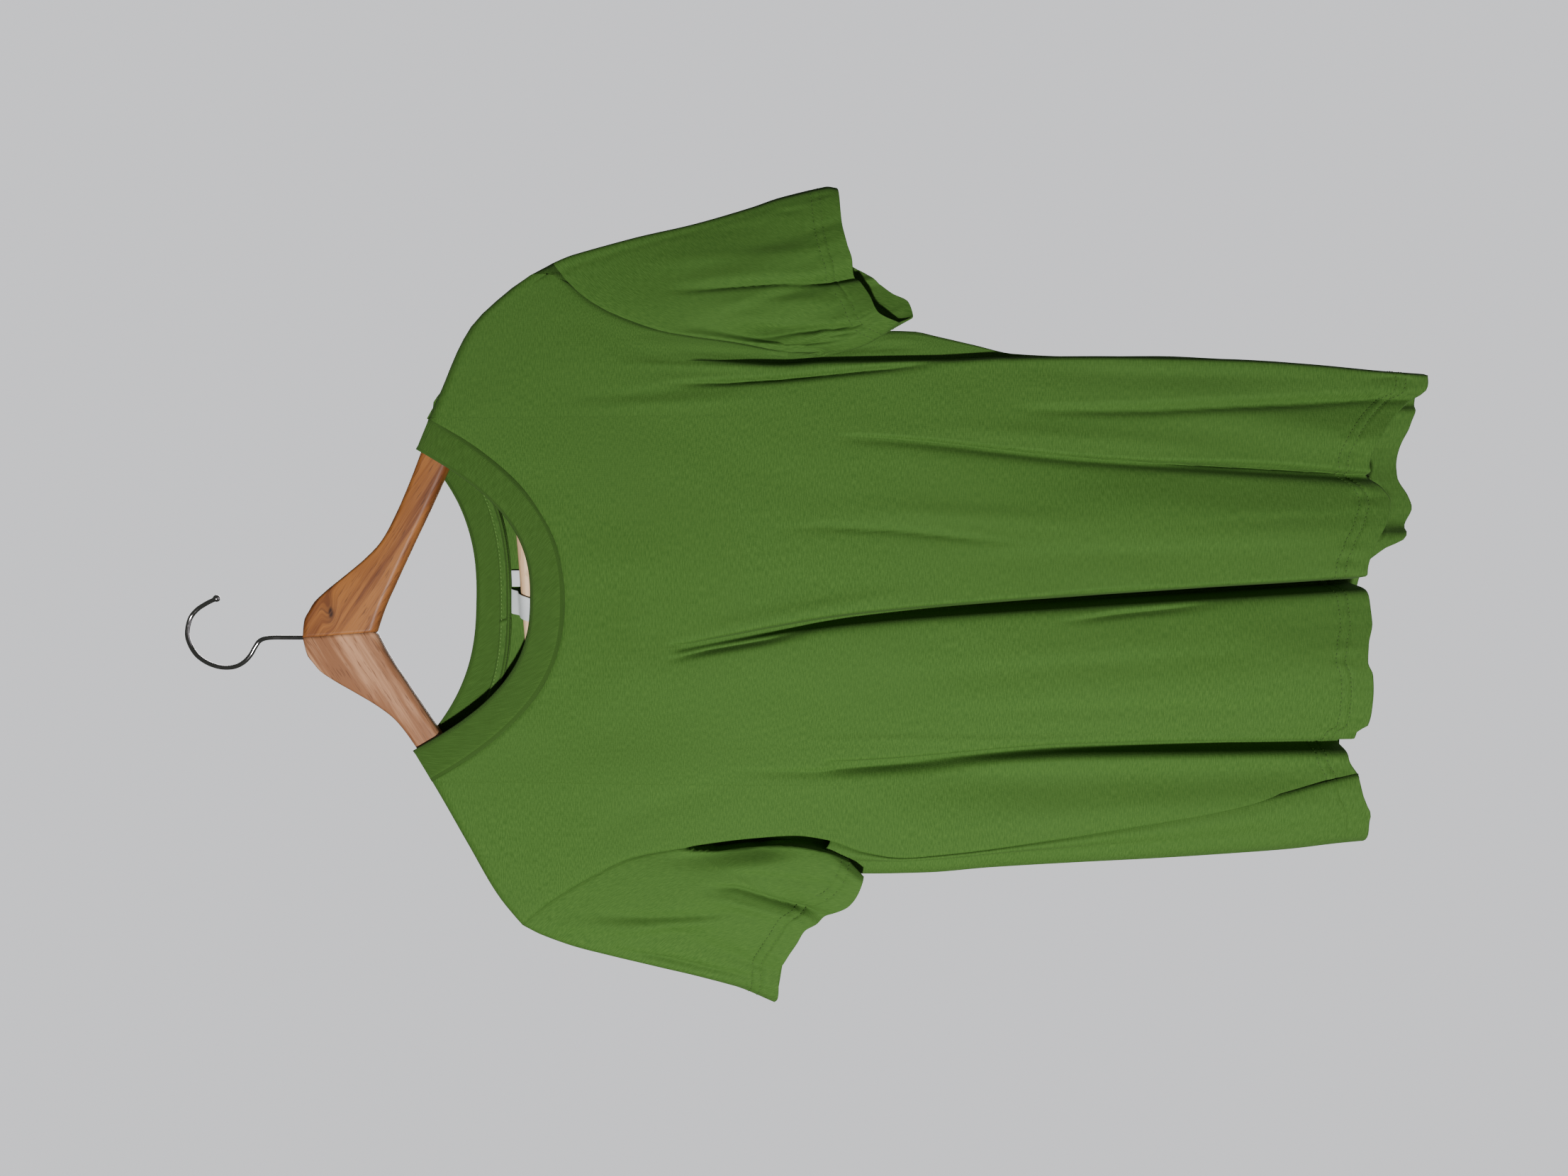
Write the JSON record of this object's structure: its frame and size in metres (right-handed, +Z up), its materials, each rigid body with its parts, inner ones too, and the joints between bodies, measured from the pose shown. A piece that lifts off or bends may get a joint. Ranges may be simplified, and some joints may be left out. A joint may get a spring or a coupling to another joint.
{
  "type": "t-shirt on hanger",
  "caption": "Short-sleeved crew-neck t-shirt of cotton jersey, hanging open at neck, cuffs and hem on a wooden hanger with a bar and a wire hook.",
  "frame": {"origin": "inside top of the hook, where its wire lies on a rail or a peg", "axes": "+Z up, the shirt's front faces -Y, +X is to the right of someone looking at the front"},
  "size_m": [0.5514, 0.0671, 0.84],
  "materials": {
    "jersey": "grass green cotton jersey, matt, fine slubs",
    "rib": "green 1x1 rib, matt",
    "tape": "green jersey tape with two rows of stitches",
    "label": "white satin label, bare",
    "wood": "varnished beech, brown",
    "bar": "plain pale beech",
    "wire": "bright plated steel wire"
  },
  "bodies": {
    "root": {"front_panel": "jersey", "back_panel": "jersey", "left_sleeve": "jersey", "right_sleeve": "jersey", "neckband": "rib", "neck_tape": "tape", "neck_label": "label", "size_label": "label", "hanger_arm_left": "wood", "hanger_arm_right": "wood", "hanger_bar": "bar", "hanger_hook": "wire"}
  },
  "joints": []
}
